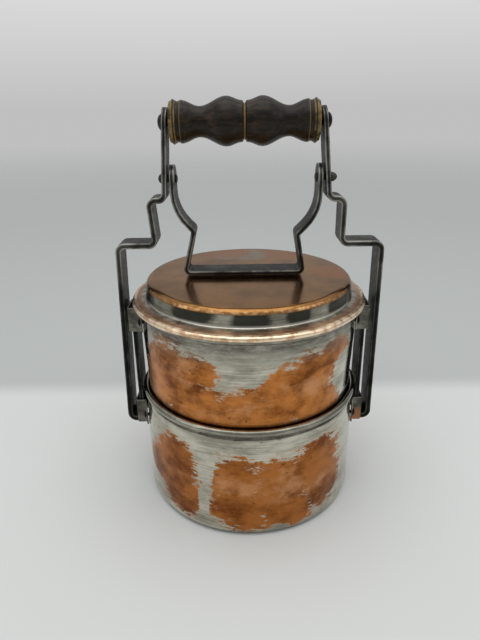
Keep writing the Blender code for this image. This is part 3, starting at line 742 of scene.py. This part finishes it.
def wood_material():
    """Near-black turned wood with grain along the grip and rubbed end rings."""
    shader = Shader("grip_wood")
    grain = shader.noise(22, 420, 420, 5, 0.6, shift=71.0, distortion=0.4)
    fleck = shader.noise(90, 700, 700, 3, 0.6, shift=73.0)
    cloud = shader.noise(55, 55, 55, 4, 0.6, shift=79.0)
    chips = shader.noise(160, 160, 160, 4, 0.65, shift=83.0)
    colour = shader.mix(shader.step(grain, 0.36, 0.66), WOOD_DARK, WOOD_BROWN)
    rubbed = shader.step(shader.plus(cloud, shader.times(grain, 0.4)), 0.74, 0.95, 0.0, 0.5)
    colour = shader.mix(rubbed, colour, WOOD_RUBBED)
    span = shader.maths("ABSOLUTE", shader.maths("SUBTRACT", shader.x, GRIP_X))
    beads = shader.plus(*(shader.band(span, *bead) for bead in GRIP_BEADS), True)
    ends = shader.times(beads, shader.step(chips, 0.36, 0.62, 0.12, 1.0))
    colour = shader.mix(ends, colour, WOOD_BEAD)
    colour = shader.mix(shader.step(span, *GRIP_GROOVE, 0.8, 0.0), colour, WOOD_GROOVE)
    ring = shader.times(shader.band(span, *GRIP_RING, 0.25 * MM), 0.6)
    colour = shader.mix(ring, colour, WOOD_RING)
    shader.set("Base Color", colour)
    shader.set("Metallic", 0.0)
    shader.set("Roughness", shader.step(fleck, 0.3, 0.7, 0.26, 0.44))
    shader.set("Specular IOR Level", 0.2)
    shader.set("Coat Weight", 0.05)
    shader.set("Coat Roughness", 0.2)
    shader.bump(shader.plus(shader.times(grain, 0.7), shader.times(fleck, 0.3)), 0.35,
                0.3 * MM)
    return shader.material


MATERIALS = {
    "lower": pan_material("lower_pan_tin", LOWER_BARE, LOWER_KEPT, 78.6 * MM, LOWER_PAINTED_SHADE,
                          tone=0.34),
    "upper": pan_material("upper_pan_tin", UPPER_BARE, UPPER_KEPT, 76.4 * MM, UPPER_PAINTED_SHADE,
                          tone=0.05),
    "lid": lid_material(),
    "iron": iron_material("forged_iron"),
    "ear": ear_material("ear_tin"),
    "ear_copper": ear_material("ear_coppery", EAR_COPPER),
    "wood": wood_material(),
}


def place_piece(item, body, slot, material, *nodes):
    item.data.materials.append(MATERIALS[material])
    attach(item, body)
    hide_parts(*nodes)


# ---- pans and lid
def rim_share(radius):
    """0 near the axis, 1 at walls and rims."""
    return min(1.0, max(0.0, (radius - BEATEN_R[0]) / (BEATEN_R[1] - BEATEN_R[0])))


def pan_warp(angle, radius, z):
    return unevenness(angle, z) * rim_share(radius), 0.0


def sheet_body(path, outside_left):
    """Closed profile round a sheet's middle line, marked 1 on its outer side."""
    fine = divided(path, 2.2 * MM)
    first = offset(fine, SHEET / 2)
    second = offset(fine, -SHEET / 2)[::-1]
    marks = [1.0 if outside_left else 0.0] * len(first)
    marks += [0.0 if outside_left else 1.0] * len(second)
    for point in (first[0], second[-1]):
        point.x = 0.0
    return first + second, marks


def roll(size, start, end):
    centre_r, centre_z, outer = size
    return arc((centre_r, centre_z), outer - SHEET / 2, start, end, 20)


def make_pan(name, wall, size, body, material):
    path = wall + roll(size, math.pi, PAN_ROLL_END)
    profile, marks = sheet_body(path, False)
    item = turned(name + "_body", profile, marks, warp=pan_warp)
    place_piece(item, body, "tinned_copper", material, name)


def make_wire(name, size, body):
    """Iron wire inside a rolled rim."""
    centre_r, centre_z, outer = size
    radius = outer - SHEET - WIRE_GAP
    ring = arc((centre_r, centre_z), radius, 0, 2 * math.pi, 12)
    item = turned(name + "_core", ring, [0.0] * len(ring), warp=pan_warp)
    place_piece(item, body, "dark_iron", "iron", name)


throat_r = LOWER_ROLL[0] - LOWER_ROLL[2] + SHEET / 2
lower_wall = fillet([(0, SHEET / 2), (LOWER_FOOT_R, SHEET / 2, BASE_CORNER_R),
                     (*LOWER_BELLY, LOWER_BELLY_BEND_R), (*LOWER_NECK, LOWER_NECK_BEND_R),
                     (throat_r, LOWER_ROLL[1] - THROAT_DROP, THROAT_BEND_R),
                     (throat_r, LOWER_ROLL[1])])[:-1]
upper_wall = fillet([(0, UPPER_FOOT[1]), (*UPPER_FOOT, UPPER_CORNER_R),
                     (*UPPER_WAIST, UPPER_WAIST_BEND_R), UPPER_BELLY])
make_pan("lower_pan", lower_wall, LOWER_ROLL, CARRIER, "lower")
make_pan("upper_pan", upper_wall, UPPER_ROLL, "upper_pan", "upper")
make_wire("lower_rim_wire", LOWER_ROLL, CARRIER)
make_wire("upper_rim_wire", UPPER_ROLL, "upper_pan")
make_wire("lid_rim_wire", LID_ROLL, "lid")


def lid_warp(angle, radius, z):
    """Beaten sheet: a slightly wavy flange and a nearly flat top."""
    ring = Vector((math.cos(angle), math.sin(angle), 0.0))
    rim = rim_share(radius)
    wave = noise.noise(ring * 2.4 + Vector((9, 0, 0)))
    dish = noise.noise(ring * radius / (28 * MM) + Vector((0, 13, 0)))
    return unevenness(angle, z) * rim, (0.18 * wave * rim + 0.10 * dish) * MM


flange_tilt = math.atan2(LID_STEP[1] - LID_ROLL[1] - LID_ROLL[2], LID_ROLL[0] - LID_STEP[0])
lid_roll = roll(LID_ROLL, math.pi / 2 - flange_tilt, LID_ROLL_END)
lid_path = fillet([(0, LID_TOP_Z), (LID_TOP_R, LID_TOP_Z, LID_TOP_BEND_R),
                   (*LID_STEP, LID_STEP_BEND_R), tuple(lid_roll[0])])[:-1] + lid_roll
lid_profile, lid_marks = sheet_body(lid_path, True)
place_piece(turned("lid_body", lid_profile, lid_marks, warp=lid_warp), "lid",
            "bare_copper", "lid", "lid")


# ---- ears and rivets
def along_x(x, z):
    """A matrix whose local Z is world X, in the middle plane."""
    return Matrix.Translation((x, 0, z)) @ Matrix.Rotation(math.pi / 2, 4, "Y")


def ear_levels(y, low, high):
    """Lowest and highest point of an ear's sheet at this distance across."""
    inset = EAR_TAPER * (high - low)
    share = max(0.0, (abs(y) - EAR_TAPER_Y) / (EAR_TIP_Y - EAR_TAPER_Y))
    return low + inset * share, high - inset * share


def ear_path(wall):
    """Plan view of a sleeve's middle line, from the tip of one foot to the other."""
    foot_r = wall + GAP + EAR_T / 2
    turn = math.asin((EAR_SLEEVE_Y + EAR_BEND_R) / foot_r)
    foot = arc((0, 0), foot_r, -EAR_FOOT_ANGLE, -turn, 5)
    root_x = math.sqrt(foot_r ** 2 - EAR_SLEEVE_Y ** 2)
    corners = [(*point, 0) for point in foot]
    corners += [(root_x, -EAR_SLEEVE_Y, EAR_BEND_R), (EAR_SLEEVE_X, -EAR_SLEEVE_Y, EAR_BEND_R)]
    corners += [(u, -v, radius) for u, v, radius in reversed(corners)]
    return divided(fillet(corners, 12.0), 1.2 * MM)


def make_rivet(name, wall, place, body, node):
    """Domed head outside the ear's foot, shank through both sheets, tail inside."""
    head = wall + 2 * GAP + EAR_T
    tail = wall - SHEET - 3 * GAP
    dome = [Vector((RIVET_HEAD_R * u.x, head + RIVET_HEAD_T * u.y))
            for u in arc((0, 0), 1.0, math.pi / 2, 0.0, 8)]
    dome[0].x = 0.0
    tip = tail - RIVET_TAIL_T
    profile = dome + [Vector((RIVET_R, head)), Vector((RIVET_R, tail)),
                      Vector((RIVET_TAIL_R, tail)), Vector((RIVET_TAIL_TIP_R, tip)),
                      Vector((0, tip))]
    item = turned(name, profile, [0.0] * len(profile), 24, place=place)
    place_piece(item, body, "dark_iron", "iron", node)


def make_ear(tier, side_name, side):
    """A sheet sleeve with two tapering feet, and the rivet through each foot."""
    wall, low, high = EARS[tier]
    path = ear_path(wall)
    stations = []
    slot_edge = STRAP_W / 2 + GAP
    for index, point in enumerate(path):
        before = path[max(0, index - 1)]
        after = path[min(len(path) - 1, index + 1)]
        along = (after - before).normalized()
        bottom, top = ear_levels(point.y, low, high)
        in_slot = point.x > EAR_SLEEVE_X - SLOT_REACH and abs(point.y) < slot_edge
        if tier == "lower" and in_slot:
            bottom = EAR_SLOT_TOP
        centre = Vector((side * point.x, side * point.y, (bottom + top) / 2))
        normal = Vector((-side * along.y, side * along.x, 0))
        stations.append((centre, normal, Vector((0, 0, 1)), EAR_T / 2, (top - bottom) / 2))
    item = strip(f"{tier}_ear_{side_name}_sheet", stations, EAR_EDGE_R)
    coppery = tier == "lower" and side > 0
    body = CARRIER if tier == "lower" else "upper_pan"
    place_piece(item, body, "dark_iron", "ear_copper" if coppery else "ear",
                f"{tier}_ear_{side_name}")
    for end_name, end in ENDS.items():
        angle = end * EAR_RIVET_ANGLE * side + (math.pi if side < 0 else 0.0)
        place = Matrix.Rotation(angle, 4, "Z") @ along_x(0, (low + high) / 2)
        make_rivet(f"{tier}_ear_{side_name}_{end_name}_rivet", wall, place, body,
                   f"{tier}_ear_rivet_{side_name}_{end_name}")


for tier_name in EARS:
    for label, direction in SIDES.items():
        make_ear(tier_name, label, direction)


# ---- straps and clamp
def neck_x(side_name, z):
    """Distance from the middle plane of the leaning strip between rod and jog."""
    share = (ROD_Z - z) / (ROD_Z - JOG_Z)
    top = STRAP_ROD_X[side_name]
    return top + (STRAP_NECK_X[side_name] - top) * share


def strap_thickness(point):
    """The legs and shoulders are left thicker than the neck and the inner leg."""
    on_neck = point.y > JOG_Z + 4 * MM
    on_inner_leg = abs(point.x) < STRAP_RETURN_X + MM and point.y < SHOULDER_Z - 8 * MM
    return STRAP_T if on_neck or on_inner_leg else LEG_T


def make_strap(side_name, side):
    """Outer leg, return bend under the lower ear, and inner leg up through both ears."""
    tip_z = ROD_Z + STRAP_W / 2
    jog_high, jog_low = STRAP_JOG_X[side_name]
    corners = [(neck_x(side_name, tip_z), tip_z), (STRAP_NECK_X[side_name], JOG_Z, BEND_R),
               (jog_high, JOG_Z, BEND_R), (jog_low, SHOULDER_Z, BEND_R),
               (STRAP_LEG_TOP_X[side_name], SHOULDER_Z, BEND_R),
               (STRAP_LEG_LOW_X, RETURN_Z)]
    path = fillet(corners, 9.0)
    centre = ((STRAP_LEG_LOW_X + STRAP_RETURN_X) / 2, RETURN_Z)
    path += arc(centre, (STRAP_LEG_LOW_X - STRAP_RETURN_X) / 2, 0.0, -math.pi, 20)[1:]
    path.append(Vector((STRAP_RETURN_X, RETURN_TOP_Z)))
    path = rounded_tip_path([Vector((side * p.x, p.y)) for p in path], STRAP_W)
    item = strip(f"carrier_strap_{side_name}_forging",
                 forged_stations(path, STRAP_W, strap_thickness), IRON_EDGE_R)
    place_piece(item, CARRIER, "dark_iron", "iron", f"carrier_strap_{side_name}")


def clamp_arm(side_name, side, foot_z):
    """Corners of one arm's middle line, from its eye down to the end of the foot."""
    eye_x = neck_x(side_name, PIVOT_Z) - CLAMP_EYE_GAP
    elbow_x, elbow_z = CLAMP_ELBOW[side_name]
    bow_z = elbow_z + eye_x - elbow_x      # the bow turns the arm by 45 degrees
    half = [(eye_x, PIVOT_Z + CLAMP_W / 2, 0), (eye_x, bow_z, CLAMP_BOW_R),
            (elbow_x, elbow_z, CLAMP_ELBOW_R),
            (CLAMP_FOOT_X[side_name], foot_z, CLAMP_FOOT_R)]
    return [(side * x, z, radius) for x, z, radius in half]


def make_clamp():
    """The bent strip of the clamp; its sole is kept inside an arc about the pivots."""
    foot_z = PIVOT_Z - CLAMP_SOLE_R + STRAP_T / 2
    left, right = (clamp_arm(name, side, foot_z) for name, side in SIDES.items())
    path = fillet(left + right[::-1], 9.0)
    path = rounded_tip_path(path, CLAMP_W)
    path = rounded_tip_path(path, CLAMP_W, at_end=True)
    stations = forged_stations(path, CLAMP_W, lambda point: STRAP_T, round_end=True)
    item = strip("lock_clamp_forging", stations, IRON_EDGE_R)
    for vertex in item.data.vertices:
        reach = Vector((vertex.co.y, vertex.co.z - PIVOT_Z))
        if vertex.co.z < PIVOT_Z and reach.length > CLAMP_SOLE_R:
            reach *= CLAMP_SOLE_R / reach.length
            vertex.co.y, vertex.co.z = reach.x, reach.y + PIVOT_Z
    place_piece(item, "lock_clamp", "dark_iron", "iron", "lock_clamp")


for label, direction in SIDES.items():
    make_strap(label, direction)
make_clamp()


# ---- rod, pivots, washers
def hammered(angle, radius, z):
    """Small unevenness of a peened head."""
    spot = Vector((math.cos(angle) * 1.4, math.sin(angle) * 1.4, z / (2 * MM)))
    return 0.05 * radius * noise.noise(spot), 0.0


def pin(name, heads, shank_r, z, node, body):
    """A pin along X with peened heads, each (inner face, outer face, radius)."""
    (low_in, low_out, low_r), (high_in, high_out, high_r) = heads
    dome = arc((0, 0), 1.0, math.pi / 2, 0.0, 9)
    top = [Vector((high_r * u.x, high_in + (high_out - high_in) * u.y)) for u in dome]
    bottom = [Vector((low_r * u.x, low_in + (low_out - low_in) * u.y)) for u in dome]
    top[0].x = 0.0
    bottom[0].x = 0.0
    profile = top + [Vector((shank_r, high_in)), Vector((shank_r, low_in))] + bottom[::-1]
    item = turned(name, profile, [0.0] * len(profile), 32, hammered, along_x(0, z))
    place_piece(item, body, "dark_iron", "iron", node)


def make_washer(name, x, z, hole_r, outer_r, node):
    """A flat ring about the X axis, with its outer corners broken."""
    half = WASHER_T / 2
    face_r = outer_r - WASHER_CHAMFER
    profile = [Vector(p) for p in (
        (hole_r, -half), (hole_r, half), (face_r, half), (outer_r, half - WASHER_CHAMFER),
        (outer_r, WASHER_CHAMFER - half), (face_r, -half), (hole_r, -half))]
    item = turned(name, profile, [0.0] * len(profile), 40, place=along_x(x, z))
    place_piece(item, CARRIER, "dark_iron", "iron", node)


def head_seat(side_name, z, head_r):
    """Distance from the middle plane where a head clears the leaning strip."""
    lean = (STRAP_NECK_X[side_name] - STRAP_ROD_X[side_name]) / (ROD_Z - JOG_Z)
    return neck_x(side_name, z) + STRAP_T / 2 + lean * head_r + GAP


rod_left, rod_right = (head_seat(name, ROD_Z, ROD_HEAD_R) for name in SIDES)
pin("handle_rod_pin", ((-rod_left, -rod_left - ROD_HEAD_T, ROD_HEAD_R),
                       (rod_right, rod_right + ROD_HEAD_T, ROD_HEAD_R)),
    ROD_R, ROD_Z, "handle_rod", CARRIER)
for label, direction in SIDES.items():
    eye = neck_x(label, PIVOT_Z) - CLAMP_EYE_GAP
    inner = (eye - STRAP_T / 2 - GAP) * direction
    outer = head_seat(label, PIVOT_Z, PIVOT_HEAD_R) * direction
    ends = [(inner, inner - PIVOT_INNER_T * direction, PIVOT_HEAD_R),
            (outer, outer + PIVOT_STUB[label] * direction, PIVOT_HEAD_R)]
    pin(f"clamp_pivot_{label}_pin", ends[::direction], PIVOT_R, PIVOT_Z,
        f"clamp_pivot_{label}", CARRIER)
    washer_x = eye + STRAP_T / 2 + GAP / 2 + WASHER_T / 2
    make_washer(f"pivot_washer_{label}_ring", direction * washer_x, PIVOT_Z, PIVOT_HOLE_R,
                PIVOT_WASHER_R, f"pivot_washer_{label}")
    washer_x = GRIP_X + direction * (GRIP_HALF + GAP / 2 + WASHER_T / 2)
    make_washer(f"handle_washer_{label}_ring", washer_x, ROD_Z, ROD_HOLE_R,
                HANDLE_WASHER_R, f"handle_washer_{label}")


# ---- grip
def grip_radius(x):
    """Turned outline: half-cosine waves between beads and necks, with cut lines."""
    spot = abs(x) / MM
    radius = GRIP_STATIONS[-1][1]
    for (x0, r0), (x1, r1) in zip(GRIP_STATIONS, GRIP_STATIONS[1:]):
        if spot <= x1:
            blend = (1 - math.cos(math.pi * (spot - x0) / (x1 - x0))) / 2
            radius = r0 + (r1 - r0) * blend
            break
    for line, depth in GRIP_LINES:
        radius -= depth * math.exp(-((spot - line) / GRIP_LINE_W) ** 2)
    return radius * MM


def make_grip():
    bore = ROD_R + GAP
    outline = [Vector((grip_radius(x), x)) for x in
               (GRIP_HALF * (1 - 2 * k / GRIP_STEPS) for k in range(GRIP_STEPS + 1))]
    profile = [Vector((bore, GRIP_HALF))] + outline
    profile += [Vector((bore, -GRIP_HALF)), Vector((bore, GRIP_HALF))]
    item = turned("grip_turning", profile, [1.0] * len(profile), 96,
                  place=along_x(GRIP_X, ROD_Z))
    place_piece(item, "grip", "dark_wood", "wood", "grip")


make_grip()


# ---- stage
WALL_LOW = 0.523        # backdrop level at the horizon, and 14 degrees above it
WALL_HIGH = 0.788
WALL_RISE = 0.25        # sine of those 14 degrees
ROOM_LEVELS = ((0.45, 0.30), (0.72, 0.45), (1.0, 1.0))   # ramp place, from floor to ceiling
FLOOR_R = 5.0
FLOOR_RINGS = 12
FLOOR_NEAR = (0.735, 0.755, 0.745)
FLOOR_FAR = (0.535, 0.560, 0.555)
FLOOR_FADE_R = (0.2, 4.6)
SEAM_Y = (0.110, 0.148)
CAMERA_PLACE = (-0.0063, -0.353, 0.2775)
CAMERA_PITCH = math.radians(67.44)
CAMERA_TILT = math.radians(-0.726)
CAMERA_LENS = 28.94
SENSOR_WIDTH = 36.0
# name, place, target, size, watts
LIGHTS = (("ceiling_softbox", (0.0, -0.15, 1.15), (0, 0, 0.1), (1.1, 0.9), 3.2),
          ("left_softbox", (-1.0, -0.5, 0.7), (0, 0, 0.12), (0.6, 0.8), 0.8),
          ("right_softbox", (1.0, -0.4, 0.8), (0, 0, 0.12), (0.6, 0.8), 0.8))


def make_floor():
    """A pale floor, slightly darker behind a soft seam, that fades out far away."""
    rings = [Vector((FLOOR_R * (k / FLOOR_RINGS) ** 2, 0.0)) for k in range(FLOOR_RINGS + 1)]
    item = turned("studio_floor", rings, [0.0] * len(rings), 96)
    shader = Shader("studio_floor")
    colour = shader.mix(shader.step(shader.y, *SEAM_Y), FLOOR_NEAR, FLOOR_FAR)
    shader.set("Base Color", colour)
    shader.set("Roughness", 0.9)
    shader.set("Specular IOR Level", 0.1)
    shader.set("Alpha", shader.step(shader.radial(), *FLOOR_FADE_R, 1.0, 0.0))
    item.data.materials.append(shader.material)


def make_world():
    """Even pale surroundings; reflections see a bright ceiling and a dim room."""
    world = bpy.data.worlds.new("studio")
    bpy.context.scene.world = world
    world.use_nodes = True
    nodes = world.node_tree.nodes
    links = world.node_tree.links
    nodes.clear()
    output = nodes.new("ShaderNodeOutputWorld")
    mixer = nodes.new("ShaderNodeMixShader")
    seen = nodes.new("ShaderNodeBackground")
    light = nodes.new("ShaderNodeBackground")
    ray = nodes.new("ShaderNodeLightPath")
    way = nodes.new("ShaderNodeTexCoord")
    split = nodes.new("ShaderNodeSeparateXYZ")
    ramp = nodes.new("ShaderNodeValToRGB")
    elements = ramp.color_ramp.elements
    elements.new(ROOM_LEVELS[1][0])
    for element, (position, level) in zip(elements, ROOM_LEVELS):
        element.position = position
        element.color = (level, level, level, 1)
    lift = nodes.new("ShaderNodeMapRange")
    lift.inputs["From Min"].default_value = -1.0
    wall = nodes.new("ShaderNodeMapRange")
    wall.inputs["From Max"].default_value = WALL_RISE
    wall.inputs["To Min"].default_value = WALL_LOW
    wall.inputs["To Max"].default_value = WALL_HIGH
    links.new(way.outputs["Generated"], split.inputs[0])
    links.new(split.outputs[2], lift.inputs["Value"])
    links.new(split.outputs[2], wall.inputs["Value"])
    links.new(wall.outputs[0], seen.inputs["Color"])
    links.new(lift.outputs[0], ramp.inputs[0])
    links.new(ramp.outputs[0], light.inputs["Color"])
    links.new(ray.outputs["Is Camera Ray"], mixer.inputs[0])
    links.new(light.outputs[0], mixer.inputs[1])
    links.new(seen.outputs[0], mixer.inputs[2])
    links.new(mixer.outputs[0], output.inputs[0])


def area_light(name, place, target, size, power):
    data = bpy.data.lights.new(name, "AREA")
    data.shape = "RECTANGLE"
    data.size, data.size_y = size
    data.energy = power
    item = bpy.data.objects.new(name, data)
    item.location = place
    item.rotation_euler = (Vector(target) - Vector(place)).to_track_quat(
        "-Z", "Y").to_euler()
    bpy.context.scene.collection.objects.link(item)


def make_camera():
    data = bpy.data.cameras.new("camera")
    data.lens = CAMERA_LENS
    data.sensor_width = SENSOR_WIDTH
    item = bpy.data.objects.new("camera", data)
    pitch = Matrix.Rotation(CAMERA_PITCH, 4, "X")
    tilt = Matrix.Rotation(CAMERA_TILT, 4, "Z")
    item.matrix_world = Matrix.Translation(CAMERA_PLACE) @ pitch @ tilt
    bpy.context.scene.collection.objects.link(item)
    bpy.context.scene.camera = item


make_floor()
make_world()
for lamp in LIGHTS:
    area_light(*lamp)
make_camera()
bpy.context.scene.view_settings.view_transform = "Standard"
